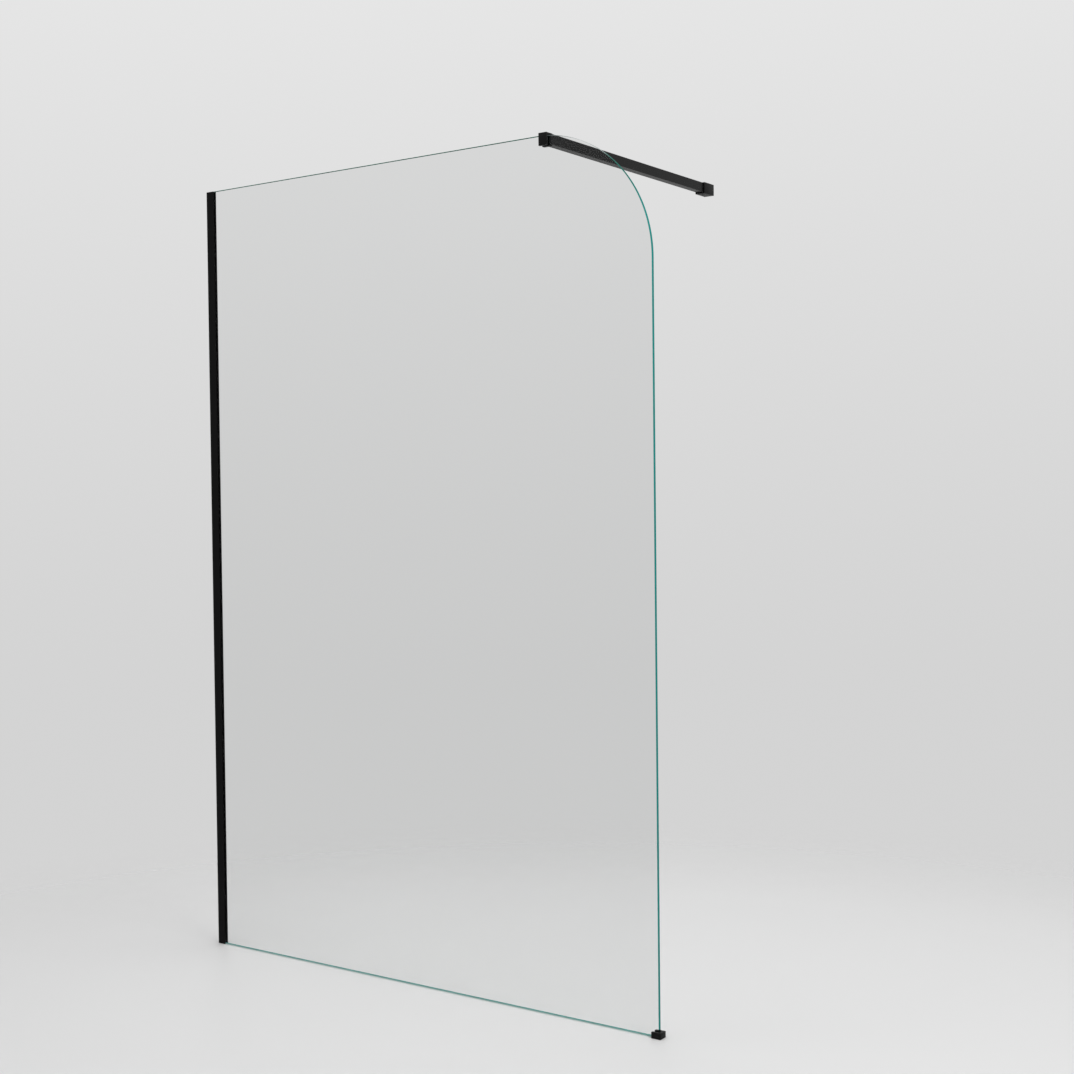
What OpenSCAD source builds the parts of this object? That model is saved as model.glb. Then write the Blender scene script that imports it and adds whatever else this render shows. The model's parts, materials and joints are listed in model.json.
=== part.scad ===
// Walk-in shower screen: a fixed pane of clear safety glass with one rounded top corner.
// A slim channel on the left wall holds one edge, a square bar braces the top to the wall
// behind, and a small clamp holds the free bottom corner on the floor.
// X runs along the glass from the wall, Y from the dry side to the wall behind, Z up.
// The origin lies on the left wall, at the middle of the glass, at floor level.

/* [Glass] */
// Height of the top edge of the glass above the floor
glass_top = 2000; // [1800:5:2200]
// Distance from the left wall to the free edge of the glass
glass_reach = 1365; // [900:5:1500]
// Thickness of the glass
glass_t = 8; // [6:0.5:10]
// Radius of the rounded top corner
corner_r = 300; // [200:10:400]
// Small bevel ground on every edge of the glass
arris = 0.8; // [0.4:0.1:1.2]

/* [Wall channel] */
// How far the channel stands out from the wall
channel_depth = 25; // [22:0.5:35]
// Thickness of the channel's two side walls
channel_side_t = 1.4; // [1:0.1:2.4]
// Thickness of the channel's web, which lies on the wall
channel_web_t = 2; // [1.5:0.1:3]
// How deep the glass sits in the channel
glass_grip = 15; // [12:0.5:18]
// Thickness of the glazing strip on each side of the glass
strip_t = 0.6; // [0.4:0.1:1.5]
// How far the glazing strips reach into the mouth of the channel
strip_depth = 10; // [6:0.5:11]
// Small bevel on the channel's outer corners and lips
channel_bevel = 0.3; // [0.1:0.05:0.4]
// Diameter of the wall screw holes in the web
channel_hole_d = 5; // [4:0.1:6]
// Distance from each end of the channel to its nearest wall screw hole
channel_hole_inset = 100; // [60:5:160]
// Height of each packer between the web and the edge of the glass
packer_h = 40; // [20:1:60]
// Length of the plug that closes the top of the channel
top_plug_h = 12; // [8:0.5:20]

/* [Support bar] */
// Distance from the middle of the glass to the wall behind
wall_reach = 765; // [500:5:1200]
// Width of the bar
bar_w = 20; // [18:0.5:26]
// Height of the bar
bar_h = 24; // [22:0.5:28]
// Wall thickness of the bar's tube
bar_wall_t = 1.5; // [1.2:0.1:2]
// Outer radius on the bar's long edges
bar_edge_r = 0.8; // [0.5:0.1:1]
// How far the top of the bar stands above the top edge of the glass
bar_rise = 4.4; // [3:0.1:6]
// How far past the start of the rounded corner the bar's centre line lies
bar_past_curve = 21; // [-60:1:21]
// Diameter of the screw that locks the bar on the clamp's spigot
bar_screw_d = 3; // [2.5:0.1:4]
// Length of the plug in the wall end of the bar
bar_plug_len = 20; // [16:0.5:24]

/* [Wall bracket] */
// Length of the bracket, out from the wall
bracket_len = 50; // [46:0.5:70]
// Thickness of the bracket beside the bar
bracket_side_t = 3.8; // [3:0.1:5]
// Thickness of the bracket above the bar
bracket_roof_t = 1; // [0.8:0.1:3]
// Thickness of the bracket below the bar
bracket_floor_t = 3.4; // [3:0.1:5]
// Thickness of the bracket's back, which lies on the wall
bracket_back_t = 6; // [5:0.5:8]
// How deep the bar sits in the bracket
bar_insert = 26; // [24:0.5:32]
// Diameter of the two wall screw holes
bracket_hole_d = 4.5; // [3.5:0.1:5]
// Distance between the two wall screw holes
bracket_hole_gap = 12; // [10:0.5:13]
// Diameter of the grub screw that locks the bar in the bracket
bracket_grub_d = 5; // [4:0.5:6]

/* [Glass clamp] */
// Width of the clamp along the glass
clamp_w = 22; // [20:0.5:30]
// Thickness of the jaw on the dry side
clamp_front_t = 6; // [4:0.5:8]
// Thickness of the jaw on the bar's side
clamp_rear_t = 9; // [8:0.5:12]
// Thickness of the bridge over the glass
clamp_bridge_t = 4; // [3:0.1:6]
// How far the jaws reach below the top edge of the glass
clamp_drop = 24; // [23:0.5:32]
// Thickness of the pads between the jaws and the glass
clamp_pad_t = 1; // [0.6:0.1:2]
// Thickness of the pad under the bridge
bridge_pad_t = 0.8; // [0.5:0.1:2]
// Width of the plate that presses on the glass
clamp_plate_w = 14; // [11:0.5:16]
// Height of the plate that presses on the glass
clamp_plate_h = 16; // [12:0.5:18]
// Thickness of the plate that presses on the glass
clamp_plate_t = 1.5; // [1:0.1:2]
// Diameter of the grub screw that drives the plate
clamp_grub_d = 8; // [6:0.5:9]
// Length of the grub screw that drives the plate
clamp_grub_len = 8; // [6:0.5:12]
// Length of the spigot that carries the bar
spigot_len = 14; // [12:0.5:18]

/* [Floor clamp] */
// Length of the floor clamp along the glass
foot_len = 24; // [22:0.5:36]
// Height of the floor clamp above the floor
foot_h = 14; // [12:0.5:20]
// Thickness of each of its two jaws
foot_jaw_t = 6.5; // [5:0.5:10]
// Thickness of its closed end, past the edge of the glass
foot_end_t = 7.5; // [4:0.5:10]
// Thickness of its base, under the glass
foot_base_t = 1.2; // [1:0.1:3]
// Thickness of the liner beside the glass
foot_liner_t = 1; // [0.6:0.1:2]
// Thickness of the liner under the glass
foot_liner_base_t = 0.4; // [0.3:0.1:1]
// Thickness of the adhesive pad on the floor
foot_tape_t = 0.4; // [0.3:0.1:1]
// Diameter of the floor clamp's grub screw
foot_grub_d = 4; // [3:0.5:5]
// Thickness of the floor clamp's pressure plate
foot_plate_t = 1; // [0.8:0.1:1.5]

/* [Finish] */
// Bevel on the edges of the cast clamps and the bracket
cast_bevel = 0.6; // [0.3:0.1:1]
// Gap around each piece that slides or drops into another
slide_gap = 0.2; // [0.1:0.05:0.4]
// Gap between a screw and the hole that it turns in
thread_gap = 0.05; // [0.02:0.01:0.1]

/* [Hidden] */

// Finishes
matt_black = [0.035, 0.035, 0.037];
black_rubber = [0.02, 0.02, 0.02];
black_steel = [0.1, 0.1, 0.11];
bright_steel = [0.6, 0.61, 0.62];
white_nylon = [0.82, 0.82, 0.8];
clear_rubber = [0.75, 0.8, 0.8, 0.6];
glass_tint = [0.62, 0.82, 0.78, 0.35];

// Roundness: small turned pieces and the big corner of the glass
$fn = 64;
corner_fn = 720;
// Cuts run past a face by this much
past = 1;

// Glass
glass_bottom = foot_tape_t + foot_base_t + foot_liner_base_t;
glass_back_x = channel_depth - glass_grip;
face_y = glass_t / 2;

// Wall channel
channel_in_w = glass_t + 2 * strip_t;
channel_w = channel_in_w + 2 * channel_side_t;
strip_inset = 0.5;
strip_end_gap = 1;
channel_holes = 4;
channel_hole_step = (glass_top - 2 * channel_hole_inset) / (channel_holes - 1);
plug_bevel = 0.5;
setting_inset = 1;

// Support bar
bar_x = glass_reach - corner_r + bar_past_curve;
bar_top = glass_top + bar_rise;
bar_bottom = bar_top - bar_h;
bar_mid_z = bar_top - bar_h / 2;
clamp_back_y = face_y + clamp_pad_t + clamp_rear_t;
bracket_front_y = wall_reach - bracket_len;
bar_end_y = bracket_front_y + bar_insert;
bar_in_w = bar_w - 2 * bar_wall_t;
bar_in_h = bar_h - 2 * bar_wall_t;
bar_in_r = 0.3;
bar_screw_y = clamp_back_y + spigot_len / 2;
bar_screw_len = 2 * bar_screw_d;
bar_screw_head_t = bar_wall_t - 0.3;
bar_screw_head_r = bar_screw_d / 2 + bar_screw_head_t;
plug_flange_t = 1;
plug_rib_t = 1.2;
plug_core_gap = 0.8;

// Wall bracket
pocket_w = bar_w + 2 * slide_gap;
pocket_h = bar_h + 2 * slide_gap;
pocket_bottom = bar_bottom - slide_gap;
bracket_w = pocket_w + 2 * bracket_side_t;
bracket_bevel = min(cast_bevel, 0.8 * bracket_roof_t);
bracket_bottom = pocket_bottom - bracket_floor_t;
bracket_h = bracket_floor_t + pocket_h + bracket_roof_t;
bracket_grub_y = bracket_front_y + bar_insert / 2;
grub_recess = 0.3;
bracket_grub_len = bracket_floor_t + slide_gap - grub_recess;
csk_r = bracket_hole_d;
csk_depth = csk_r - bracket_hole_d / 2;

// Glass clamp
clamp_front_y = -(face_y + clamp_pad_t + clamp_front_t);
clamp_bottom = glass_top - clamp_drop;
clamp_slot_top = glass_top + bridge_pad_t;
clamp_top = clamp_slot_top + clamp_bridge_t;
clamp_slot_w = glass_t + 2 * clamp_pad_t;
bridge_pad_sag = 3;
clamp_pad_inset = 1;
plate_gap = 0.2;
clamp_plate_y = face_y + clamp_pad_t;
clamp_grub_z = bar_mid_z;
spigot_w = bar_in_w - 2 * slide_gap;
spigot_h = bar_in_h - 2 * slide_gap;
spigot_bore_r = clamp_grub_d / 2 + 0.4;

// Floor clamp
foot_w = glass_t + 2 * foot_liner_t + 2 * foot_jaw_t;
foot_slot_w = glass_t + 2 * foot_liner_t;
foot_bevel = min(cast_bevel, 0.8 * foot_base_t);
foot_x1 = glass_reach + foot_liner_t + foot_end_t;
foot_x0 = foot_x1 - foot_len;
foot_slot_x1 = glass_reach + foot_liner_t;
foot_slot_z = foot_tape_t + foot_base_t;
foot_liner_top = foot_h - 0.5;
foot_tape_inset = 1;
foot_plate_len = 10;
foot_plate_h = 8;
foot_plate_x = (foot_x0 + foot_slot_x1) / 2;
foot_plate_z = (foot_slot_z + foot_h) / 2;
foot_plate_y = face_y + foot_liner_t;
foot_grub_y0 = foot_plate_y + foot_plate_t;
foot_grub_len = foot_jaw_t - foot_plate_t - grub_recess;

// Hexagon sockets of the screws, as a share of the thread's diameter
socket_af = 0.5;
socket_depth = 0.45;

// Flat outline with its four corners cut off
module bevelled_rect(size, bevel) {
    polygon([[bevel, 0], [size.x - bevel, 0], [size.x, bevel], [size.x, size.y - bevel],
        [size.x - bevel, size.y], [bevel, size.y], [0, size.y - bevel], [0, bevel]]);
}

// Block with all twelve edges bevelled, its lowest corner at the origin
module bevelled_block(size, bevel) {
    intersection() {
        linear_extrude(size.z)
            bevelled_rect([size.x, size.y], bevel);
        translate([0, size.y, 0])
            rotate([90, 0, 0])
                linear_extrude(size.y)
                    bevelled_rect([size.x, size.z], bevel);
        rotate([90, 0, 90])
            linear_extrude(size.x)
                bevelled_rect([size.y, size.z], bevel);
    }
}

// Rectangle with rounded corners, centred on the origin
module rounded_rect(size, r) {
    square([size.x - 2 * r, size.y], center = true);
    square([size.x, size.y - 2 * r], center = true);
    for (sx = [-1, 1], sy = [-1, 1])
        translate([sx * (size.x / 2 - r), sy * (size.y / 2 - r)])
            circle(r);
}

// Extrusion along Y from y0 to y1 of an outline drawn in X and Z
module along_y(y0, y1) {
    translate([0, y1, 0])
        rotate([90, 0, 0])
            linear_extrude(y1 - y0)
                children();
}

// Round bar or bore along Y
module rod_y(x, z, r, y0, y1) {
    translate([x, y1, z])
        rotate([90, 0, 0])
            cylinder(h = y1 - y0, r = r);
}

// Headless screw along +Z, its hexagon socket at the lower end and its point at the top
module grub_screw(d, len) {
    point = d / 8;
    difference() {
        union() {
            cylinder(h = len - point, d = d);
            translate([0, 0, len - point])
                cylinder(h = point, d1 = d, d2 = d - 2 * point);
        }
        translate([0, 0, -past])
            cylinder(h = d * socket_depth + past, d = d * socket_af / cos(30), $fn = 6);
    }
}

// Section of one edge pair: bevelled at a, and at b where bevel_b is more than zero
function pane_section(a, b, bevel_b) = concat(
    [[a, -face_y + arris], [a + arris, -face_y]],
    bevel_b > 0 ? [[b - bevel_b, -face_y], [b, -face_y + bevel_b], [b, face_y - bevel_b], [b - bevel_b, face_y]]
        : [[b, -face_y], [b, face_y]],
    [[a + arris, face_y], [a, face_y - arris]]);

// Straight-edged part of the pane, with square joins where no bevel is wanted
module pane(x1, z1, bevel_x1, bevel_z1) {
    intersection() {
        translate([0, 0, -past])
            linear_extrude(z1 + 2 * past)
                polygon(pane_section(glass_back_x, x1, bevel_x1));
        rotate([0, -90, 180])
            linear_extrude(x1 + past)
                polygon(pane_section(glass_bottom, z1, bevel_z1));
    }
}

// Clear pane with its outer top corner rounded and every edge bevelled
module glass_panel() {
    color(glass_tint) {
        pane(glass_reach, glass_top - corner_r, arris, 0);
        pane(glass_reach - corner_r, glass_top, 0, arris);
        translate([glass_reach - corner_r, 0, glass_top - corner_r])
            rotate([90, 0, 0])
                rotate_extrude($fn = corner_fn)
                    polygon([[0, -face_y], [corner_r - arris, -face_y], [corner_r, -face_y + arris],
                        [corner_r, face_y - arris], [corner_r - arris, face_y], [0, face_y]]);
    }
}

// Aluminium channel on the wall, open towards the glass, with wall screw holes in its web
module wall_channel() {
    color(matt_black)
        difference() {
            linear_extrude(glass_top)
                difference() {
                    translate([0, -channel_w / 2])
                        bevelled_rect([channel_depth, channel_w], channel_bevel);
                    polygon([[channel_web_t, -channel_in_w / 2],
                        [channel_depth - channel_bevel, -channel_in_w / 2],
                        [channel_depth + past, -channel_in_w / 2 - channel_bevel - past],
                        [channel_depth + past, channel_in_w / 2 + channel_bevel + past],
                        [channel_depth - channel_bevel, channel_in_w / 2],
                        [channel_web_t, channel_in_w / 2]]);
                }
            for (i = [0 : channel_holes - 1])
                translate([-past, 0, channel_hole_inset + i * channel_hole_step])
                    rotate([0, 90, 0])
                        cylinder(h = channel_web_t + 2 * past, d = channel_hole_d);
        }
}

// Glazing strip between the glass and one side wall: side is -1 in front and 1 behind
module glazing_strip(side) {
    low_y = side > 0 ? face_y : -face_y - strip_t;
    translate([channel_depth - strip_depth, low_y, glass_bottom])
        cube([strip_depth - strip_inset, strip_t, glass_top - strip_end_gap - glass_bottom]);
}

module front_glazing_strip() {
    color(black_rubber)
        glazing_strip(-1);
}

module rear_glazing_strip() {
    color(black_rubber)
        glazing_strip(1);
}

// Plug that closes the top of the channel behind the edge of the glass
module channel_top_plug() {
    plug_w = channel_in_w - 2 * thread_gap;
    color(matt_black)
        translate([channel_web_t, -plug_w / 2, glass_top - top_plug_h])
            bevelled_block([glass_back_x - channel_web_t, plug_w, top_plug_h], plug_bevel);
}

// Packers that set the distance from the web to the edge of the glass
module glass_edge_packers() {
    color(white_nylon)
        for (i = [0 : channel_holes - 2])
            translate([channel_web_t, -face_y,
                channel_hole_inset + (i + 0.5) * channel_hole_step - packer_h / 2])
                bevelled_block([glass_back_x - channel_web_t, glass_t, packer_h], plug_bevel);
}

// Block in the foot of the channel that carries the weight of the glass
module glass_setting_block() {
    block_w = channel_in_w - 2 * slide_gap;
    color(white_nylon)
        translate([channel_web_t, -block_w / 2, 0])
            cube([channel_depth - channel_web_t - setting_inset, block_w, glass_bottom]);
}

// Square tube from the glass clamp to the wall bracket
module support_bar() {
    color(matt_black)
        difference() {
            along_y(clamp_back_y, bar_end_y)
                translate([bar_x, bar_mid_z])
                    difference() {
                        rounded_rect([bar_w, bar_h], bar_edge_r);
                        rounded_rect([bar_in_w, bar_in_h], bar_in_r);
                    }
            translate([bar_x, bar_screw_y, bar_bottom])
                bar_screw_form(thread_gap, bar_wall_t + past);
        }
}

// Countersunk screw from below: gap widens it all round, len is its length
module bar_screw_form(gap, len) {
    cylinder(h = bar_screw_head_t, r1 = bar_screw_head_r + gap, r2 = bar_screw_d / 2 + gap);
    cylinder(h = len, d = bar_screw_d + 2 * gap);
}

// Plug in the wall end of the bar, which backs the tube where the grub screw bears
module bar_end_plug() {
    core_w = bar_in_w - 2 * plug_core_gap;
    core_h = bar_in_h - 2 * plug_core_gap;
    color(white_nylon) {
        along_y(bar_end_y, bar_end_y + plug_flange_t)
            translate([bar_x, bar_mid_z])
                rounded_rect([bar_w, bar_h], bar_edge_r);
        along_y(bar_end_y - bar_plug_len, bar_end_y)
            translate([bar_x, bar_mid_z]) {
                square([core_w, core_h], center = true);
                square([bar_in_w, plug_rib_t], center = true);
                for (s = [-1, 1])
                    translate([s * core_w / 4, 0])
                        square([plug_rib_t, bar_in_h], center = true);
            }
    }
}

// Countersunk screw that locks the bar on the spigot, driven from below
module bar_lock_screw() {
    color(black_steel)
        translate([bar_x, bar_screw_y, bar_bottom])
            difference() {
                bar_screw_form(0, bar_screw_len);
                translate([0, 0, -past])
                    cylinder(h = past + bar_screw_d * socket_depth, d = bar_screw_d * socket_af / cos(30),
                        $fn = 6);
            }
}

// Cast socket on the wall behind: the bar slides in over the heads of two wall screws
module wall_bracket() {
    color(matt_black)
        difference() {
            translate([bar_x - bracket_w / 2, bracket_front_y, bracket_bottom])
                bevelled_block([bracket_w, bracket_len, bracket_h], bracket_bevel);
            translate([bar_x - pocket_w / 2, bracket_front_y - past, pocket_bottom])
                cube([pocket_w, bracket_len - bracket_back_t + past, pocket_h]);
            for (s = [-1, 1])
                translate([bar_x, wall_reach - bracket_back_t, bar_mid_z + s * bracket_hole_gap / 2])
                    rotate([-90, 0, 0]) {
                        cylinder(h = bracket_back_t + past, d = bracket_hole_d);
                        cylinder(h = csk_depth, r1 = csk_r, r2 = bracket_hole_d / 2);
                    }
            translate([bar_x, bracket_grub_y, bracket_bottom - past])
                cylinder(h = bracket_floor_t + 2 * past, d = bracket_grub_d + 2 * thread_gap);
        }
}

// Grub screw that locks the bar in the wall bracket, driven from below
module wall_bracket_grub_screw() {
    color(black_steel)
        translate([bar_x, bracket_grub_y, bracket_bottom + grub_recess])
            grub_screw(bracket_grub_d, bracket_grub_len);
}

// Cast clamp over the top edge of the glass, with the hollow spigot that carries the bar
module glass_clamp_body() {
    color(matt_black)
        difference() {
            union() {
                translate([bar_x - clamp_w / 2, clamp_front_y, clamp_bottom])
                    bevelled_block([clamp_w, clamp_back_y - clamp_front_y, clamp_top - clamp_bottom],
                        cast_bevel);
                translate([bar_x - spigot_w / 2, clamp_back_y - past, bar_mid_z - spigot_h / 2])
                    cube([spigot_w, spigot_len + past, spigot_h]);
            }
            translate([bar_x - clamp_w / 2 - past, -clamp_slot_w / 2, clamp_bottom - past])
                cube([clamp_w + 2 * past, clamp_slot_w, clamp_slot_top - clamp_bottom + past]);
            translate([bar_x - clamp_plate_w / 2 - plate_gap, clamp_plate_y - past,
                clamp_grub_z - clamp_plate_h / 2 - plate_gap])
                cube([clamp_plate_w + 2 * plate_gap, clamp_plate_t + plate_gap + past,
                    clamp_plate_h + 2 * plate_gap]);
            rod_y(bar_x, clamp_grub_z, clamp_grub_d / 2 + thread_gap, clamp_plate_y, clamp_back_y);
            rod_y(bar_x, clamp_grub_z, spigot_bore_r, clamp_back_y, clamp_back_y + spigot_len + past);
            translate([bar_x, bar_screw_y, bar_bottom])
                cylinder(h = bar_screw_len + past, d = bar_screw_d + 2 * thread_gap);
        }
}

// Rubber pad between one jaw and the glass
module clamp_pad(low_y) {
    translate([bar_x - clamp_w / 2 + clamp_pad_inset, low_y, clamp_bottom + clamp_pad_inset])
        cube([clamp_w - 2 * clamp_pad_inset, clamp_pad_t, clamp_drop - 2 * clamp_pad_inset]);
}

module glass_clamp_front_pad() {
    color(black_rubber)
        clamp_pad(-face_y - clamp_pad_t);
}

module glass_clamp_rear_pad() {
    color(black_rubber)
        clamp_pad(face_y);
}

// Rubber pad between the bridge and the top edge of the glass, cut to the curve of the glass
module glass_clamp_bridge_pad() {
    color(black_rubber)
        difference() {
            translate([bar_x - clamp_w / 2 + clamp_pad_inset, -face_y, glass_top - bridge_pad_sag])
                cube([clamp_w - 2 * clamp_pad_inset, glass_t, bridge_pad_sag + bridge_pad_t]);
            rod_y(glass_reach - corner_r, glass_top - corner_r, corner_r, -face_y - past, face_y + past,
                $fn = corner_fn);
            translate([glass_back_x, -face_y - past, glass_top - corner_r])
                cube([glass_reach - corner_r - glass_back_x, glass_t + 2 * past, corner_r]);
        }
}

// Steel plate that spreads the grub screw's push over the rear pad
module glass_clamp_pressure_plate() {
    color(bright_steel)
        translate([bar_x - clamp_plate_w / 2, clamp_plate_y, clamp_grub_z - clamp_plate_h / 2])
            cube([clamp_plate_w, clamp_plate_t, clamp_plate_h]);
}

// Grub screw that grips the glass, reached through the spigot before the bar goes on
module glass_clamp_grub_screw() {
    color(black_steel)
        translate([bar_x, clamp_plate_y + clamp_plate_t + clamp_grub_len, clamp_grub_z])
            rotate([90, 0, 0])
                grub_screw(clamp_grub_d, clamp_grub_len);
}

// Cast clamp on the floor, closed past the free edge of the glass
module floor_clamp_body() {
    color(matt_black)
        difference() {
            translate([foot_x0, -foot_w / 2, foot_tape_t])
                bevelled_block([foot_len, foot_w, foot_h - foot_tape_t], foot_bevel);
            translate([foot_x0 - past, -foot_slot_w / 2, foot_slot_z])
                cube([foot_slot_x1 - foot_x0 + past, foot_slot_w, foot_h]);
            translate([foot_plate_x - foot_plate_len / 2 - plate_gap, foot_plate_y - past,
                foot_plate_z - foot_plate_h / 2 - plate_gap])
                cube([foot_plate_len + 2 * plate_gap, foot_plate_t + plate_gap + past,
                    foot_plate_h + 2 * plate_gap]);
            rod_y(foot_plate_x, foot_plate_z, foot_grub_d / 2 + thread_gap, foot_plate_y,
                foot_w / 2 + past);
        }
}

// Liner that wraps the bottom corner of the glass inside the floor clamp
module floor_clamp_liner() {
    color(clear_rubber)
        difference() {
            translate([foot_x0 + foot_liner_t, -foot_slot_w / 2, foot_slot_z])
                cube([foot_slot_x1 - foot_x0 - foot_liner_t, foot_slot_w, foot_liner_top - foot_slot_z]);
            translate([foot_x0, -face_y, glass_bottom])
                cube([glass_reach - foot_x0, glass_t, foot_h]);
        }
}

// Steel plate that spreads the floor clamp's grub screw over the liner
module floor_clamp_pressure_plate() {
    color(bright_steel)
        translate([foot_plate_x - foot_plate_len / 2, foot_plate_y, foot_plate_z - foot_plate_h / 2])
            cube([foot_plate_len, foot_plate_t, foot_plate_h]);
}

// Grub screw of the floor clamp, driven from the side of the wall behind
module floor_clamp_grub_screw() {
    color(black_steel)
        translate([foot_plate_x, foot_grub_y0 + foot_grub_len, foot_plate_z])
            rotate([90, 0, 0])
                grub_screw(foot_grub_d, foot_grub_len);
}

// Adhesive pad that bonds the floor clamp to the floor without drilling
module floor_clamp_adhesive_pad() {
    color(black_rubber)
        translate([foot_x0 + foot_tape_inset, -foot_w / 2 + foot_tape_inset, 0])
            cube([foot_len - 2 * foot_tape_inset, foot_w - 2 * foot_tape_inset, foot_tape_t]);
}

glass_panel();
wall_channel();
front_glazing_strip();
rear_glazing_strip();
channel_top_plug();
glass_edge_packers();
glass_setting_block();
support_bar();
bar_end_plug();
bar_lock_screw();
wall_bracket();
wall_bracket_grub_screw();
glass_clamp_body();
glass_clamp_front_pad();
glass_clamp_rear_pad();
glass_clamp_bridge_pad();
glass_clamp_pressure_plate();
glass_clamp_grub_screw();
floor_clamp_body();
floor_clamp_liner();
floor_clamp_pressure_plate();
floor_clamp_grub_screw();
floor_clamp_adhesive_pad();
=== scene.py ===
"""Looks and studio for a walk-in shower screen: clear glass with a rounded top corner, a wall
channel, a support bar with its clamp and wall bracket, and a floor clamp, all in matt black."""

import json
import math

import bmesh
import bpy
from bpy.props import FloatProperty, FloatVectorProperty, IntProperty, PointerProperty
from mathutils import Matrix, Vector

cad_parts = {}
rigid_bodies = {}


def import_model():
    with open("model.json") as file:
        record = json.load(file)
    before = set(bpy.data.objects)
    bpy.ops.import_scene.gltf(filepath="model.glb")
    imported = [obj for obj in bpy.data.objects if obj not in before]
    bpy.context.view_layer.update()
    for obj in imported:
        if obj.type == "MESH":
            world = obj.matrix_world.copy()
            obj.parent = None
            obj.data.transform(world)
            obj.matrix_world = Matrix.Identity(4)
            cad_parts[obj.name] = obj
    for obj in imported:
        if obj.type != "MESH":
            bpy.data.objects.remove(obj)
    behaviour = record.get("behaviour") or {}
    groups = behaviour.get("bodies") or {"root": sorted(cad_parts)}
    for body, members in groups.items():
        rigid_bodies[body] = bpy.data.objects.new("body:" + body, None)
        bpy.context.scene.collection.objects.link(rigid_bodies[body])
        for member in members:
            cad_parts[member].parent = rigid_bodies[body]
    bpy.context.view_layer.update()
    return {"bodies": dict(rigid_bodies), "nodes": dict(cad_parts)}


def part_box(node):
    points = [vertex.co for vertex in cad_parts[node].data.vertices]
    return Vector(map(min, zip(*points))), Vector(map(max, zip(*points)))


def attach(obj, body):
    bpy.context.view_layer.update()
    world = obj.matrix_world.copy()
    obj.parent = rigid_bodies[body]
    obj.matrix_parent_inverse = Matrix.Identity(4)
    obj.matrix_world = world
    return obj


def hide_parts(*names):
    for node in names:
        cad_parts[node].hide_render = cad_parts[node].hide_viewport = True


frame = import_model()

bl_info = {
    "name": "Walk-in shower screen",
    "version": (1, 0, 0),
    "blender": (4, 5, 0),
    "location": "View3D > Sidebar > Shower screen",
    "description": "Models and finishes the pieces of a walk-in shower screen, and lights them",
    "category": "Object",
}

BODY = next(iter(frame["bodies"]))
MM = 0.001

# How far a cutting shape runs past the face that it opens
PAST = 1 * MM
# How close to the corner of its block an edge of the pane lies, to be the one that is rounded
NEAR = 1 * MM
# Lengths of the drills for the bracket's wall screw holes and for its grub screw
WALL_DRILL = 9 * MM
GRUB_DRILL = 6 * MM
ROD_SIDES = 48
ROUNDING_STEPS = 3
# Edges that turn more than this are rounded
SHARP_ANGLE = math.radians(40)
# Edges that turn less than these are shaded smooth, on the castings and on the pane
SMOOTH_ANGLE = math.radians(35)
PANE_SMOOTH_ANGLE = math.radians(20)

# A face of the pane whose normal has more of Y than the first is one of its two large faces, and
# one that has less than the second is its polished edge
FACE_ON = 0.9
EDGE_ON = 0.1

# The pane bends what is behind it less than its real index would, as in the photograph
PANE_IOR = 1.12
# Share of each colour of light that passes through the worked edge into its shadow
EDGE_TINT = (0.5, 0.8, 0.74)
# Turn away from the eye, from 0 to 1, over which the worked edge becomes a mirror
EDGE_GLINT = (0.845, 0.865)

# Where the worked edge turns from one green to the next, as the distance along X or the height
# at which the new green starts and is full
# Painted light: the edge is painted a paler green along the bottom, where the floor lights it
BOTTOM_RISE = (6 * MM, 3 * MM)
# Painted shade: the edge is painted a deeper green round the top corner, beside the clamp and along
# the straight top
CORNER_RISE = (1.8, 1.915)
CROWN_RISE = (1.925, 1.95)
TOP_RUN = (1.087, 1.085)
TOP_RISE = (1.9, 1.95)
# Painted reflection: the foot of the edge, beside the floor clamp, is painted black for the clamp
# that it mirrors
FOOT_RUN = (1.354, 1.355)
FOOT_RISE = (20 * MM, 18 * MM)
CLAMP_REFLECTION_BLACK = (0.006, 0.008, 0.008)

# The floor lies just under the screen, and fades out between these shares of its radius
FLOOR_CENTRE = (1.5, -0.6, -0.1 * MM)
FLOOR_SIDES = 128
FLOOR_FADE = (0.6, 0.98)

# Heights of the line of sight between which the backdrop goes from its low to its high grey
BACKDROP_RISE = (-0.12, 0.3)
BACKDROP_POWER = 1.3

# Name, place, turn in degrees, width and setting of each lamp
LAMPS = (
    ("key_lamp", (4.2, -0.8, 3.2), (58, 0, 76), 2.2, "key_power"),
    ("fill_lamp", (-1.6, -2.4, 4.6), (38, 0, -38), 2.0, "fill_power"),
    ("top_lamp", (0.7, 0.3, 4.4), (0, 0, 0), 3.0, "top_power"),
)

# Pieces that keep their exact solid, with the finish that each one takes
FINISHES = {
    # The channel's coat is painted darker, as painted shade, and the bar's lighter, as painted light
    "wall_channel": "shaded_channel_coat",
    "support_bar": "lit_bar_coat",
    "channel_top_plug": "moulded_black",
    "front_glazing_strip": "soft_rubber",
    "rear_glazing_strip": "soft_rubber",
    "glass_clamp_front_pad": "soft_rubber",
    "glass_clamp_rear_pad": "soft_rubber",
    "glass_clamp_bridge_pad": "soft_rubber",
    "floor_clamp_liner": "soft_rubber",
    "floor_clamp_adhesive_pad": "soft_rubber",
    "glass_edge_packers": "white_nylon",
    "glass_setting_block": "white_nylon",
    "bar_end_plug": "white_nylon",
    "bar_lock_screw": "blackened_steel",
    "wall_bracket_grub_screw": "blackened_steel",
    "glass_clamp_grub_screw": "blackened_steel",
    "floor_clamp_grub_screw": "blackened_steel",
    "glass_clamp_pressure_plate": "bright_steel",
    "floor_clamp_pressure_plate": "bright_steel",
}


# Settings


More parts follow.
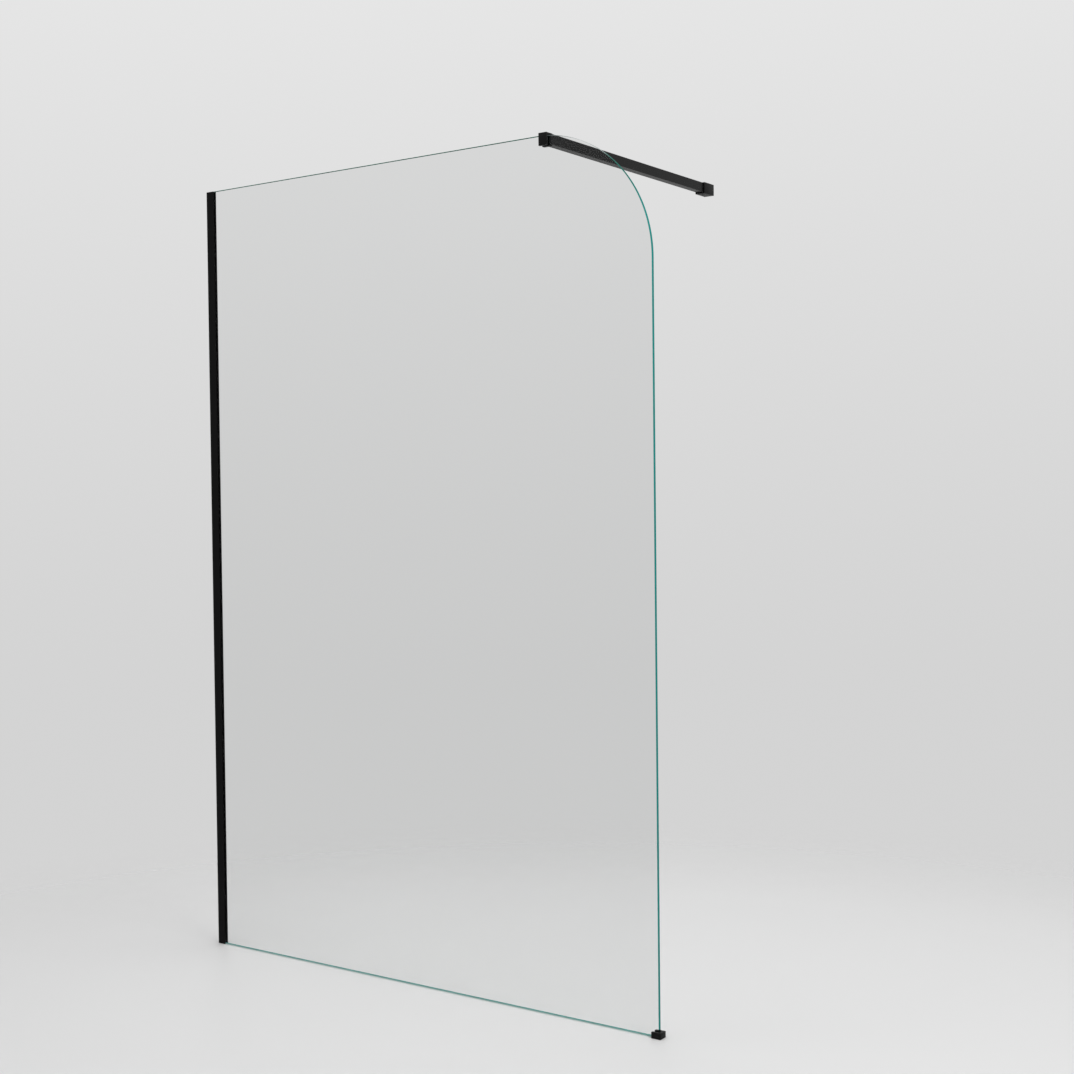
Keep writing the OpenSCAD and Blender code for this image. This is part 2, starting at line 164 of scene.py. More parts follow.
def length(name, description, default, low=0.0, high=20.0):
    return FloatProperty(name=name, description=description, default=default, min=low, max=high,
                         unit="LENGTH")


def angle(name, description, degrees):
    return FloatProperty(name=name, description=description, default=math.radians(degrees),
                         unit="ROTATION")


def power(name, description, watts):
    return FloatProperty(name=name, description=description, default=watts, min=0, unit="POWER")


def colour(name, description, default):
    return FloatVectorProperty(name=name, description=description, default=default,
                               subtype="COLOR", min=0, max=1)


class GlassSizes(bpy.types.PropertyGroup):
    """Sizes and colours of the pane."""

    corner_radius: length(
        "Corner radius", "Radius of the rounded top corner", 300 * MM, 0.1, 0.5)
    corner_steps: IntProperty(
        name="Corner steps", description="Straight steps that make up the rounded corner",
        default=120, min=24, max=240)
    arris: length(
        "Arris", "Width of the small bevel ground on every edge", 0.5 * MM, 0.2 * MM, 2 * MM)
    pane_colour: colour(
        "Pane colour", "Tint of what is seen through the pane", (0.893, 0.8985, 0.897))
    edge_side: colour(
        "Edge, side", "Green of the polished edge, where the glass is deep", (0.02, 0.205, 0.187))
    # Painted light: the edge is painted paler along the bottom, where the floor lights it
    edge_bottom_painted_light: colour(
        "Edge, bottom", "Paler green along the bottom, where the floor lights it",
        (0.105, 0.265, 0.245))
    # Painted shade: the edge is painted a deeper green round the top corner, beside the clamp and
    # along the straight top
    edge_corner_painted_shade: colour(
        "Edge, corner", "Deeper green round the top corner", (0.006, 0.09, 0.068))
    edge_crown_painted_shade: colour(
        "Edge, crown", "Green of the last of the corner, beside the clamp", (0.03, 0.11, 0.095))
    edge_top_painted_shade: colour(
        "Edge, top", "Green along the straight top", (0.004, 0.115, 0.078))
    arris_side: colour(
        "Arris, side", "Green of the ground bevel", (0.03, 0.225, 0.205))
    # Painted reflection: the bevel beside the clamp is painted pale grey for the pale backdrop that
    # it mirrors
    arris_crown_painted_reflection: colour(
        "Arris, crown", "Pale grey of the bevel beside the clamp", (0.3, 0.34, 0.335))
    # Painted shade: the bevel is painted a darker green along the straight top
    arris_top_painted_shade: colour(
        "Arris, top", "Green of the bevel along the straight top", (0.02, 0.14, 0.1))


class MetalSizes(bpy.types.PropertyGroup):
    """Sizes and colours of the metal, rubber and plastic pieces."""

    cast_edge: length(
        "Cast edge", "Rounding on the edges of the cast clamps and the bracket",
        0.6 * MM, 0.2 * MM, 1 * MM)
    thread_gap: length(
        "Thread gap", "Clearance between a screw and its hole", 0.05 * MM, 0, 0.5 * MM)
    coat_colour: colour(
        "Coat colour", "Matt black of the powder coat", (0.0032, 0.0032, 0.0033))
    coat_roughness: FloatProperty(
        name="Coat roughness", description="How dull the powder coat is",
        default=0.42, min=0, max=1, subtype="FACTOR")
    coat_grain: length(
        "Coat grain", "Width of the fine grain in the powder coat", 0.5 * MM, 0.1 * MM, 3 * MM)
    rubber_colour: colour(
        "Rubber colour", "Black of the strips, pads and liner", (0.006, 0.006, 0.006))
    nylon_colour: colour(
        "Nylon colour", "Off-white of the packers, block and plug", (0.62, 0.61, 0.58))
    steel_colour: colour(
        "Steel colour", "Bright steel of the pressure plates", (0.5, 0.51, 0.52))
    dark_steel_colour: colour(
        "Dark steel colour", "Blackened steel of the screws", (0.03, 0.03, 0.033))


class StudioSizes(bpy.types.PropertyGroup):
    """Camera, floor, backdrop and lamps."""

    camera_place: FloatVectorProperty(
        name="Camera place", description="Where the camera stands",
        default=(3.11057, -2.93956, 1.18616), subtype="XYZ", unit="LENGTH")
    camera_yaw: angle(
        "Camera yaw", "Turn of the camera to the left of square on", 35.006)
    camera_pitch: angle(
        "Camera pitch", "Tilt of the camera above the level", -1.474)
    camera_roll: angle(
        "Camera roll", "Lean of the camera about its own line of sight", -0.6288)
    lens: FloatProperty(
        name="Lens", description="Focal length on the sensor, in millimetres",
        default=52.737, min=10, max=200)
    sensor: FloatProperty(
        name="Sensor", description="Width of the sensor, in millimetres",
        default=36, min=10, max=100)
    floor_colour: colour(
        "Floor colour", "Pale grey of the floor", (0.69, 0.69, 0.69))
    floor_radius: length(
        "Floor radius", "Where the floor has faded into the backdrop", 3.0, 1)
    backdrop_high: colour(
        "Backdrop, high", "Grey of the backdrop above the screen", (0.79, 0.79, 0.79))
    backdrop_low: colour(
        "Backdrop, low", "Grey of the backdrop near the floor", (0.656, 0.656, 0.656))
    world_light: FloatProperty(
        name="World light", description="How much the backdrop lights the object",
        default=0.55, min=0, max=2)
    key_power: power("Key lamp", "Power of the large lamp at the right", 80)
    fill_power: power("Fill lamp", "Power of the lamp at the left", 12)
    top_power: power("Top lamp", "Power of the lamp overhead", 58)


# Modelling helpers


def deselect():
    if bpy.context.object and bpy.context.object.mode != "OBJECT":
        bpy.ops.object.mode_set(mode="OBJECT")
    bpy.ops.object.select_all(action="DESELECT")


def activate(piece):
    deselect()
    piece.select_set(True)
    bpy.context.view_layer.objects.active = piece


def bake_place():
    """Moves the place, turn and scale of the new object into its mesh, and returns the object"""
    bpy.ops.object.transform_apply(location=True, rotation=True, scale=True)
    return bpy.context.object


def middle_of(box):
    return (box[0] + box[1]) / 2


def add_block(name, low, high):
    """Box between two corners, with its place in its mesh"""
    deselect()
    middle = [(a + b) / 2 for a, b in zip(low, high)]
    size = [b - a for a, b in zip(low, high)]
    bpy.ops.mesh.primitive_cube_add(size=1, location=middle, scale=size)
    piece = bpy.context.object
    piece.name = piece.data.name = name
    return bake_place()


def add_rod(start, length, radius, axis, far_radius=None):
    """Rod or cone from start along Y or Z, with its place in its mesh"""
    deselect()
    turn = {"Y": (-math.pi / 2, 0, 0), "Z": (0, 0, 0)}[axis]
    shift = {"Y": (0, length / 2, 0), "Z": (0, 0, length / 2)}[axis]
    bpy.ops.mesh.primitive_cone_add(
        vertices=ROD_SIDES, radius1=radius, radius2=radius if far_radius is None else far_radius,
        depth=length, location=[a + b for a, b in zip(start, shift)], rotation=turn)
    return bake_place()


def pick_edges(piece, test):
    """Edit mode, with only the edges that pass the test selected"""
    activate(piece)
    bpy.ops.object.mode_set(mode="EDIT")
    bpy.ops.mesh.select_mode(type="EDGE")
    bpy.ops.mesh.select_all(action="DESELECT")
    mesh = bmesh.from_edit_mesh(piece.data)
    for edge in mesh.edges:
        edge.select_set(test(edge))
    bmesh.update_edit_mesh(piece.data)


def apply_modifier(piece, kind, **values):
    activate(piece)
    modifier = piece.modifiers.new(kind.title(), kind)
    for key, value in values.items():
        setattr(modifier, key, value)
    bpy.ops.object.modifier_apply(modifier=modifier.name)


def combine(piece, tool, operation):
    apply_modifier(piece, "BOOLEAN", operation=operation, solver="EXACT", object=tool)
    bpy.data.objects.remove(tool)


def cut(piece, tool):
    """Takes the tool's shape out of the piece"""
    combine(piece, tool, "DIFFERENCE")


def join(piece, tool):
    """Adds the tool's shape to the piece"""
    combine(piece, tool, "UNION")


def cut_pocket(piece, plate, gap):
    """Pocket for a pressure plate, with a gap all round, open towards the glass"""
    low, high = plate
    cut(piece, add_block("plate_pocket", (low.x - gap, low.y - PAST, low.z - gap),
                         (high.x + gap, high.y + gap, high.z + gap)))


def thread_radius(screw, sizes):
    """Radius of the hole that a headless screw turns in"""
    return (screw[1].x - screw[0].x) / 2 + sizes.thread_gap


def smooth(piece, angle=SMOOTH_ANGLE):
    activate(piece)
    bpy.ops.object.shade_smooth_by_angle(angle=angle)


def soften(piece, width):
    """Rounds every sharp edge, and shades the roundings smooth"""
    apply_modifier(piece, "BEVEL", width=width, segments=ROUNDING_STEPS, limit_method="ANGLE",
                   angle_limit=SHARP_ANGLE, use_clamp_overlap=True)
    smooth(piece)


def settle(piece, node, slot, *materials):
    """Fits the piece out: its finishes, the solid that it stands for and the body it rides on"""
    piece.data.materials.clear()
    for material in materials:
        piece.data.materials.append(material)
    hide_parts(node)
    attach(piece, BODY)


# Finishes


def node_maker(tree):
    """Maker of nodes for an emptied node tree, which sets each new node's inputs and links them"""
    tree.nodes.clear()

    def add(kind, links=None, values=None, **settings):
        node = tree.nodes.new("ShaderNode" + kind)
        for key, value in settings.items():
            setattr(node, key, value)
        for key, value in (values or {}).items():
            node.inputs[key].default_value = value
        for key, socket in (links or {}).items():
            tree.links.new(socket, node.inputs[key])
        return node

    return add


def new_finish(name):
    """Material with its Principled shader, the maker of its nodes, and a link to the shader"""
    material = bpy.data.materials.get(name) or bpy.data.materials.new(name)
    material.use_nodes = True
    tree = material.node_tree
    add = node_maker(tree)
    shader = add("BsdfPrincipled")
    add("OutputMaterial", {"Surface": shader.outputs["BSDF"]})

    def link(socket, key):
        tree.links.new(socket, shader.inputs[key])

    return material, shader, add, link


def stretched(add, stretch=(1, 1, 1)):
    """Place on the object, multiplied along each axis, which squeezes the noises made from it"""
    place = add("TexCoord").outputs["Object"]
    mapping = add("Mapping", {"Vector": place}, {"Scale": stretch}, vector_type="POINT")
    return mapping.outputs["Vector"]


def noise(add, where, size, detail=3.0):
    """Noise with features about this size, in metres"""
    values = {"Scale": 1 / size, "Detail": detail, "Roughness": 0.55}
    return add("TexNoise", {"Vector": where}, values).outputs["Fac"]


def spread(add, factor, low, high):
    """Maps the middle of a noise to a range of values"""
    values = {"From Min": 0.3, "From Max": 0.7, "To Min": low, "To Max": high}
    return add("MapRange", {"Value": factor}, values).outputs["Result"]


def step(add, value, start, end):
    """0 at the start and before it, 1 at the end and past it"""
    values = {"From Min": start, "From Max": end}
    return add("MapRange", {"Value": value}, values).outputs["Result"]


def merged(add, first, second, operation):
    """One number out of two"""
    return add("Math", {0: first, 1: second}, operation=operation).outputs["Value"]


def tinted(add, factor, first, second):
    """Colour that wanders between two tints"""
    values = {"A": (*first, 1), "B": (*second, 1)}
    return add("Mix", {"Factor": factor}, values, data_type="RGBA").outputs["Result"]


def relief(add, height, strength, depth):
    """Surface that follows a noise, to this depth"""
    bump = add("Bump", {"Height": height}, {"Strength": strength, "Distance": depth})
    return bump.outputs["Normal"]


def scaled(tone, factor):
    return [min(1.0, part * factor) for part in tone]


def varied(add, factor, tone, darker, lighter):
    """Colour that wanders between a darker and a lighter share of one tone"""
    return tinted(add, factor, scaled(tone, darker), scaled(tone, lighter))


def coat_finish(name, tone, roughness, grain, depth, shine=0.115):
    """Matt powder coat: fine grain, and a dullness and black that vary a little"""
    material, shader, add, link = new_finish(name)
    where = stretched(add)
    cloud = noise(add, where, size=40 * MM, detail=2.0)
    drift = noise(add, where, size=6 * MM)
    fine = noise(add, where, size=grain, detail=2.0)
    link(varied(add, cloud, tone, darker=0.85, lighter=1.2), "Base Color")
    link(spread(add, drift, low=roughness - 0.015, high=roughness + 0.02), "Roughness")
    link(relief(add, fine, strength=0.5, depth=depth), "Normal")
    shader.inputs["Specular IOR Level"].default_value = shine
    return material


def cast_coat():
    """Powder coat on the castings, which is a little duller and coarser"""
    sizes = bpy.context.scene.screen_metal
    return coat_finish("powder_coat_on_casting", sizes.coat_colour,
                       roughness=sizes.coat_roughness + 0.02, grain=1.4 * sizes.coat_grain,
                       depth=0.07 * MM)


def rubber_finish(name, tone):
    """Black rubber: dull, with a soft mottle from the mould"""
    material, shader, add, link = new_finish(name)
    where = stretched(add)
    mottle = noise(add, where, size=8 * MM)
    drift = noise(add, where, size=2 * MM)
    fine = noise(add, where, size=0.8 * MM)
    link(varied(add, mottle, tone, darker=0.7, lighter=1.5), "Base Color")
    link(spread(add, drift, low=0.72, high=0.88), "Roughness")
    link(relief(add, fine, strength=0.4, depth=0.05 * MM), "Normal")
    shader.inputs["Specular IOR Level"].default_value = 0.3
    return material


def plastic_finish(name, tone, roughness):
    """Moulded plastic: a fine spark-eroded texture and faint flow marks"""
    material, _, add, link = new_finish(name)
    where = stretched(add)
    flow = noise(add, where, size=12 * MM)
    drift = noise(add, where, size=3 * MM)
    fine = noise(add, where, size=0.6 * MM)
    link(varied(add, flow, tone, darker=0.92, lighter=1.06), "Base Color")
    link(spread(add, drift, low=roughness - 0.06, high=roughness + 0.06), "Roughness")
    link(relief(add, fine, strength=0.35, depth=0.03 * MM), "Normal")
    return material


def steel_finish(name, tone, roughness, stretch=(1, 1, 1)):
    """Steel: the streaks of its working, across the axis that is stretched"""
    material, shader, add, link = new_finish(name)
    streak = noise(add, stretched(add, stretch), size=1.5 * MM, detail=4.0)
    link(varied(add, streak, tone, darker=0.75, lighter=1.15), "Base Color")
    link(spread(add, streak, low=roughness - 0.08, high=roughness + 0.1), "Roughness")
    link(relief(add, streak, strength=0.3, depth=0.02 * MM), "Normal")
    shader.inputs["Metallic"].default_value = 1.0
    return material


def light_through(material, shader, add, tint):
    """Lets the lamps shine through glass with a tint, where it would cast a solid shadow"""
    clear = add("BsdfTransparent", values={"Color": (*tint, 1)})
    shadow = add("LightPath").outputs["Is Shadow Ray"]
    mix = add("MixShader", {0: shadow, 1: shader.outputs["BSDF"], 2: clear.outputs["BSDF"]})
    output = next(n for n in material.node_tree.nodes if n.type == "OUTPUT_MATERIAL")
    material.node_tree.links.new(mix.outputs["Shader"], output.inputs["Surface"])


def pane_finish(tone):
    """Clear float glass: its green drifts a little over the pane, and lamps shine through it"""
    material, shader, add, link = new_finish("clear_float_glass")
    drift = noise(add, stretched(add), size=0.35, detail=1.0)
    link(varied(add, drift, tone, darker=0.996, lighter=1.004), "Base Color")
    shader.inputs["Transmission Weight"].default_value = 1.0
    shader.inputs["Roughness"].default_value = 0.0
    shader.inputs["IOR"].default_value = PANE_IOR
    light_through(material, shader, add, tint=scaled(tone, 0.98))
    return material


def edge_finish(name, side, bottom, corner, crown, top, roughness, streak_size):
    """Worked edge of the glass: its greens by place, which are painted light and shade, with fine
    streaks along it, a mirror at a very low angle and a painted reflection of the black floor clamp
    in its foot"""
    material, shader, add, link = new_finish(name)
    where = stretched(add, (1, 8, 1))
    streak = noise(add, where, size=streak_size)
    wander = noise(add, where, size=60 * MM, detail=2.0)
    place = add("SeparateXYZ", {0: where})
    along, up = place.outputs["X"], place.outputs["Z"]
    # Mask of the painted shade along the straight top
    at_top = merged(add, step(add, along, *TOP_RUN), step(add, up, *TOP_RISE), "MULTIPLY")
    # Mask of the painted reflection of the floor clamp in the foot of the edge
    clamp_reflection_mask = merged(add, step(add, along, *FOOT_RUN), step(add, up, *FOOT_RISE), "MULTIPLY")

    def wandering(tone):
        return varied(add, wander, tone, darker=0.92, lighter=1.1)

    # The side green is overlaid by place with painted light along the bottom, painted shade round the
    # top corner, beside the clamp and along the top, a painted reflection of the backdrop on the
    # bevel beside the clamp, and a painted reflection of the floor clamp in the foot
    green = wandering(side)
    for factor, tone in (
        (step(add, up, *BOTTOM_RISE), bottom),
        (step(add, up, *CORNER_RISE), corner),
        (step(add, up, *CROWN_RISE), crown),
        (at_top, top),
        (clamp_reflection_mask, CLAMP_REFLECTION_BLACK),
    ):
        links = {"Factor": factor, "A": green, "B": wandering(tone)}
        green = add("Mix", links, data_type="RGBA").outputs["Result"]
    link(green, "Base Color")

    facing = add("LayerWeight", values={"Blend": 0.5}).outputs["Facing"]
    link(step(add, facing, *EDGE_GLINT), "Metallic")
    link(spread(add, streak, low=roughness, high=roughness + 0.1), "Roughness")
    link(relief(add, streak, strength=0.25, depth=0.02 * MM), "Normal")
    shader.inputs["Specular IOR Level"].default_value = 0.005
    light_through(material, shader, add, tint=EDGE_TINT)
    return material


# Pieces


class SCREEN_OT_glass_pane(bpy.types.Operator):
    """Model the pane: one block of glass with a rounded top corner and ground bevels"""

    bl_idname = "screen.glass_pane"
    bl_label = "Glass pane"
    bl_options = {"REGISTER", "UNDO"}

    def execute(self, context):
        sizes = context.scene.screen_glass
        low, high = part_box("glass_panel")
        pane = add_block("glass_pane", low, high)

        def at_top_corner(edge):
            middle = (edge.verts[0].co + edge.verts[1].co) / 2
            return middle.x > high.x - NEAR and middle.z > high.z - NEAR

        def round_a_face(edge):
            turns = [abs(face.normal.y) for face in edge.link_faces]
            return max(turns) > FACE_ON and min(turns) < EDGE_ON

        pick_edges(pane, at_top_corner)
        bpy.ops.mesh.bevel(offset=sizes.corner_radius, offset_type="OFFSET",
                           segments=sizes.corner_steps, affect="EDGES", clamp_overlap=True)
        pick_edges(pane, round_a_face)
        bpy.ops.mesh.bevel(offset=sizes.arris, offset_type="OFFSET", segments=1, affect="EDGES")
        smooth(pane, PANE_SMOOTH_ANGLE)
        polished = edge_finish(
            "polished_glass_edge", sizes.edge_side, sizes.edge_bottom_painted_light, sizes.edge_corner_painted_shade,
            sizes.edge_crown_painted_shade, sizes.edge_top_painted_shade, roughness=0.12, streak_size=3 * MM)
        ground = edge_finish(
            "ground_glass_arris", sizes.arris_side, sizes.edge_bottom_painted_light, sizes.edge_corner_painted_shade,
            sizes.arris_crown_painted_reflection, sizes.arris_top_painted_shade, roughness=0.4, streak_size=0.6 * MM)
        clear = pane_finish(sizes.pane_colour)
        settle(pane, "glass_panel", "clear_glass", clear, polished, ground)
        for face in pane.data.polygons:
            turn = abs(face.normal.y)
            face.material_index = 0 if turn > FACE_ON else 1 if turn < EDGE_ON else 2
        return {"FINISHED"}


class SCREEN_OT_wall_bracket(bpy.types.Operator):
    """Model the wall bracket: a cast block with a square socket and two wall screw holes"""

    bl_idname = "screen.wall_bracket"
    bl_label = "Wall bracket"
    bl_options = {"REGISTER", "UNDO"}

    socket_gap: length(
        "Socket gap", "Gap between the bar and its socket all round", 0.2 * MM)
    back_thickness: length(
        "Back thickness", "Metal left behind the socket", 6 * MM)
    screw_spacing: length(
        "Screw spacing", "Distance between the two wall screw holes", 12 * MM)
    screw_hole: length(
        "Screw hole", "Diameter of the two wall screw holes", 4.5 * MM)

    def execute(self, context):
        sizes = context.scene.screen_metal
        low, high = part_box("wall_bracket")
        bar_low, bar_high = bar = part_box("support_bar")
        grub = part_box("wall_bracket_grub_screw")
        bracket = add_block("wall_bracket_casting", low, high)
        soften(bracket, sizes.cast_edge)
        gap = self.socket_gap
        back = high.y - self.back_thickness
        cut(bracket, add_block("socket", (bar_low.x - gap, low.y - 2 * PAST, bar_low.z - gap),
                               (bar_high.x + gap, back, bar_high.z + gap)))
        middle = middle_of(bar)
        radius = self.screw_hole / 2
        for side in (-1, 1):
            start = (middle.x, back - PAST, middle.z + side * self.screw_spacing / 2)
            cut(bracket, add_rod(start, WALL_DRILL, radius, "Y"))
            # Countersink, which widens towards the socket at 45 degrees
            cut(bracket, add_rod(start, radius + PAST, 2 * radius + PAST, "Y", radius))
        start = (middle.x, middle_of(grub).y, low.z - PAST)
        cut(bracket, add_rod(start, GRUB_DRILL, thread_radius(grub, sizes), "Z"))
        smooth(bracket)
        settle(bracket, "wall_bracket", "black_metal", cast_coat())
        return {"FINISHED"}


class SCREEN_OT_glass_clamp(bpy.types.Operator):
    """Model the glass clamp: a cast block slotted for the glass, with the bar's hollow spigot"""

    bl_idname = "screen.glass_clamp"
    bl_label = "Glass clamp"
    bl_options = {"REGISTER", "UNDO"}

    spigot_gap: length(
        "Spigot gap", "Gap between the spigot and the inside of the bar", 0.2 * MM)
    bar_wall: length(
        "Bar wall", "Wall thickness of the bar's tube", 1.5 * MM)
    spigot_bore: length(
        "Spigot bore", "Diameter of the way through the spigot to the grub screw", 8.8 * MM)

    def execute(self, context):
        sizes = context.scene.screen_metal
        low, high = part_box("glass_clamp_body")
        bar_low, bar_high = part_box("support_bar")
        front_pad, rear_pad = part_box("glass_clamp_front_pad"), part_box("glass_clamp_rear_pad")
        bridge_pad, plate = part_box("glass_clamp_bridge_pad"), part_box("glass_clamp_pressure_plate")
        grub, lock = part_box("glass_clamp_grub_screw"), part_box("bar_lock_screw")
        back = bar_low.y
        clamp = add_block("glass_clamp_casting", low, (high.x, back, high.z))
        cut(clamp, add_block("glass_slot", (low.x - PAST, front_pad[0].y, low.z - PAST),
                             (high.x + PAST, rear_pad[1].y, bridge_pad[1].z)))
        soften(clamp, sizes.cast_edge)
        inset = self.bar_wall + self.spigot_gap
        join(clamp, add_block("spigot", (bar_low.x + inset, back - PAST, bar_low.z + inset),
                              (bar_high.x - inset, high.y, bar_high.z - inset)))
        cut_pocket(clamp, plate, self.spigot_gap)
        middle = middle_of(grub)
        cut(clamp, add_rod((middle.x, plate[0].y, middle.z), back - plate[0].y,
                           thread_radius(grub, sizes), "Y"))
        cut(clamp, add_rod((middle.x, back - PAST / 2, middle.z), high.y - back + 2 * PAST,
                           self.spigot_bore / 2, "Y"))
        # The lock screw is two diameters long
        lock_length = lock[1].z - lock[0].z
        cut(clamp, add_rod((middle.x, middle_of(lock).y, lock[0].z), lock_length + PAST,
                           lock_length / 4 + sizes.thread_gap, "Z"))
        smooth(clamp)
        settle(clamp, "glass_clamp_body", "black_metal", cast_coat())
        return {"FINISHED"}


class SCREEN_OT_floor_clamp(bpy.types.Operator):
    """Model the floor clamp: a cast block with a slot open at the top and at its inner end"""

    bl_idname = "screen.floor_clamp"
    bl_label = "Floor clamp"
    bl_options = {"REGISTER", "UNDO"}

    pocket_gap: length(
        "Pocket gap", "Gap around the pressure plate in its pocket", 0.2 * MM)

    def execute(self, context):
        sizes = context.scene.screen_metal
        low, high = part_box("floor_clamp_body")
        liner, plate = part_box("floor_clamp_liner"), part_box("floor_clamp_pressure_plate")
        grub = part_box("floor_clamp_grub_screw")
        clamp = add_block("floor_clamp_casting", low, high)
        cut(clamp, add_block("glass_slot", (low.x - PAST, liner[0].y, liner[0].z),
                             (liner[1].x, liner[1].y, high.z + PAST)))
        soften(clamp, sizes.cast_edge)
        cut_pocket(clamp, plate, self.pocket_gap)
        middle = middle_of(grub)
        cut(clamp, add_rod((middle.x, plate[0].y, middle.z), high.y - plate[0].y + PAST,
                           thread_radius(grub, sizes), "Y"))
        smooth(clamp)
        settle(clamp, "floor_clamp_body", "black_metal", cast_coat())
        return {"FINISHED"}


class SCREEN_OT_finishes(bpy.types.Operator):
    """Finish the pieces that keep their exact solid: channel, bar, strips, pads and screws"""

    bl_idname = "screen.finishes"
    bl_label = "Other finishes"
    bl_options = {"REGISTER", "UNDO"}

    def execute(self, context):
        sizes = context.scene.screen_metal
        relief_of_coat = {"grain": sizes.coat_grain, "depth": 0.05 * MM}
        made = {
            # Painted shade and light: one powder coat, painted darker on the channel and lighter on
            # the bar
            "shaded_channel_coat": coat_finish(
                "powder_coat_on_channel", scaled(sizes.coat_colour, 0.8),
                roughness=sizes.coat_roughness, shine=0.055, **relief_of_coat),
            "lit_bar_coat": coat_finish(
                "powder_coat_on_bar", scaled(sizes.coat_colour, 1.3),
                roughness=sizes.coat_roughness - 0.09, shine=0.11, **relief_of_coat),
            "moulded_black": plastic_finish("moulded_black", sizes.coat_colour, roughness=0.6),
            "soft_rubber": rubber_finish("soft_rubber", sizes.rubber_colour),
            "white_nylon": plastic_finish("white_nylon", sizes.nylon_colour, roughness=0.5),
            "blackened_steel": steel_finish(
                "blackened_steel", sizes.dark_steel_colour, roughness=0.42),
            "bright_steel": steel_finish(
                "bright_steel", sizes.steel_colour, roughness=0.34, stretch=(1, 1, 12)),
        }
        for node, finish in FINISHES.items():
            for slot in frame["nodes"][node].material_slots:
                slot.material = made[finish]
        return {"FINISHED"}


# Studio


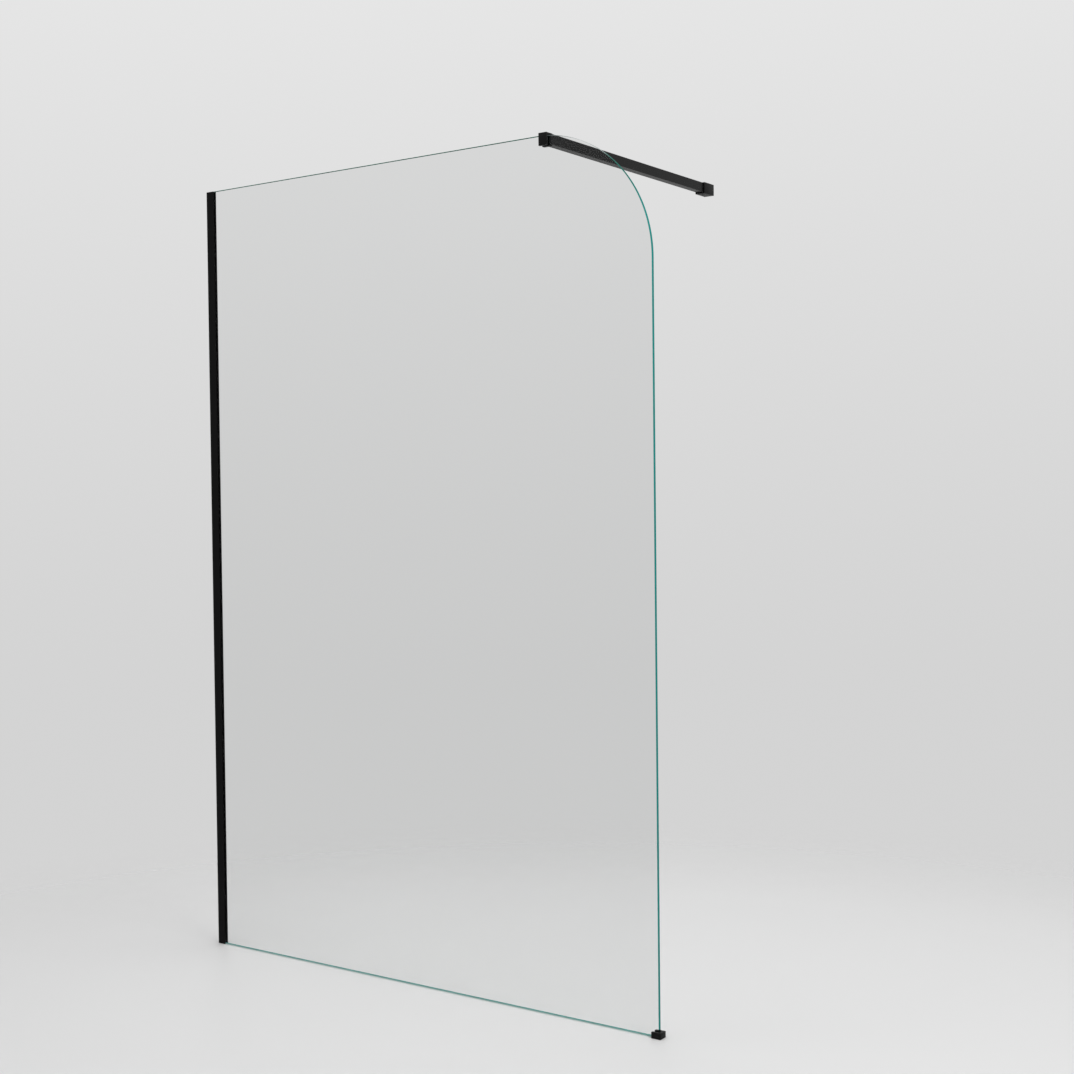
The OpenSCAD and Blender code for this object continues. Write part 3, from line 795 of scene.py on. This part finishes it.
class SCREEN_OT_studio(bpy.types.Operator):
    """Set up the camera, the pale floor, the backdrop and the lamps"""

    bl_idname = "screen.studio"
    bl_label = "Studio"
    bl_options = {"REGISTER", "UNDO"}

    def execute(self, context):
        sizes = context.scene.screen_studio
        self.add_camera(context, sizes)
        self.add_floor(sizes)
        self.add_backdrop(context, sizes)
        self.add_lamps(sizes)
        context.scene.view_settings.view_transform = "Standard"
        return {"FINISHED"}

    def add_camera(self, context, sizes):
        turn = (Matrix.Rotation(sizes.camera_yaw, 4, "Z")
                @ Matrix.Rotation(math.pi / 2 + sizes.camera_pitch, 4, "X")
                @ Matrix.Rotation(sizes.camera_roll, 4, "Z"))
        deselect()
        bpy.ops.object.camera_add(location=sizes.camera_place, rotation=turn.to_euler())
        camera = bpy.context.object
        camera.name = "camera"
        camera.data.sensor_width = sizes.sensor
        camera.data.lens = sizes.lens
        context.scene.camera = camera

    def add_floor(self, sizes):
        """Disc with a faint mottle, whose rim fades into the backdrop"""
        deselect()
        bpy.ops.mesh.primitive_circle_add(
            vertices=FLOOR_SIDES, radius=sizes.floor_radius, fill_type="NGON",
            location=FLOOR_CENTRE)
        floor = bpy.context.object
        floor.name = "studio_floor"
        material, shader, add, link = new_finish("pale_floor")
        where = stretched(add)
        mottle = noise(add, where, size=0.7, detail=2.0)
        link(varied(add, mottle, sizes.floor_colour, darker=0.99, lighter=1.01), "Base Color")
        shader.inputs["Roughness"].default_value = 0.42
        shader.inputs["Specular IOR Level"].default_value = 0.2
        distance = add("VectorMath", {0: where}, operation="LENGTH").outputs["Value"]
        start, end = [share * sizes.floor_radius for share in FLOOR_FADE]
        fade = add("MapRange", {"Value": distance},
                   {"From Min": start, "From Max": end, "To Min": 1.0, "To Max": 0.0},
                   interpolation_type="SMOOTHSTEP").outputs["Result"]
        link(fade, "Alpha")
        floor.data.materials.append(material)

    def add_backdrop(self, context, sizes):
        """World that is seen, and mirrored, as a grey that pales upwards, and gives even light"""
        world = bpy.data.worlds.new("backdrop")
        context.scene.world = world
        world.use_nodes = True
        add = node_maker(world.node_tree)
        direction = add("TexCoord").outputs["Generated"]
        height = add("SeparateXYZ", {"Vector": direction}).outputs["Z"]
        rise = add("Math", {0: step(add, height, *BACKDROP_RISE)}, {1: BACKDROP_POWER},
                   operation="POWER").outputs["Value"]
        grey = tinted(add, rise, sizes.backdrop_low, sizes.backdrop_high)
        seen = add("Background", {"Color": grey})
        lit = add("Background", values={"Color": (1, 1, 1, 1), "Strength": sizes.world_light})
        path = add("LightPath").outputs
        looks = merged(add, path["Is Camera Ray"], path["Is Glossy Ray"], "MAXIMUM")
        looks = merged(add, looks, path["Is Transmission Ray"], "MAXIMUM")
        mix = add("MixShader", {0: looks, 1: lit.outputs["Background"],
                                2: seen.outputs["Background"]})
        add("OutputWorld", {"Surface": mix.outputs["Shader"]})

    def add_lamps(self, sizes):
        for name, place, turn, width, setting in LAMPS:
            deselect()
            bpy.ops.object.light_add(type="AREA", location=place,
                                     rotation=[math.radians(part) for part in turn])
            lamp = bpy.context.object
            lamp.name = name
            lamp.data.shape = "SQUARE"
            lamp.data.size = width
            lamp.data.energy = getattr(sizes, setting)


class SCREEN_PT_sidebar(bpy.types.Panel):
    """Pieces and sizes of the shower screen"""

    bl_idname = "SCREEN_PT_sidebar"
    bl_label = "Shower screen"
    bl_space_type = "VIEW_3D"
    bl_region_type = "UI"
    bl_category = "Shower screen"

    def draw(self, context):
        for name, (label, group_class) in SETTINGS.items():
            box = self.layout.box()
            box.label(text=label)
            group = getattr(context.scene, name)
            for key in group_class.__annotations__:
                box.prop(group, key)
        for operator in OPERATORS:
            self.layout.operator(operator.bl_idname)


SETTINGS = {
    "screen_glass": ("Glass", GlassSizes),
    "screen_metal": ("Metal and rubber", MetalSizes),
    "screen_studio": ("Studio", StudioSizes),
}
OPERATORS = (
    SCREEN_OT_glass_pane,
    SCREEN_OT_wall_bracket,
    SCREEN_OT_glass_clamp,
    SCREEN_OT_floor_clamp,
    SCREEN_OT_finishes,
    SCREEN_OT_studio,
)
CLASSES = (GlassSizes, MetalSizes, StudioSizes, *OPERATORS, SCREEN_PT_sidebar)


def register():
    for cls in CLASSES:
        bpy.utils.register_class(cls)
    for name, (label, group_class) in SETTINGS.items():
        setattr(bpy.types.Scene, name, PointerProperty(name=label, type=group_class))


def unregister():
    for name in SETTINGS:
        delattr(bpy.types.Scene, name)
    for cls in reversed(CLASSES):
        bpy.utils.unregister_class(cls)


def main():
    register()
    bpy.ops.screen.glass_pane()
    bpy.ops.screen.wall_bracket()
    bpy.ops.screen.glass_clamp()
    bpy.ops.screen.floor_clamp()
    bpy.ops.screen.finishes()
    bpy.ops.screen.studio()


if __name__ == "__main__":
    main()
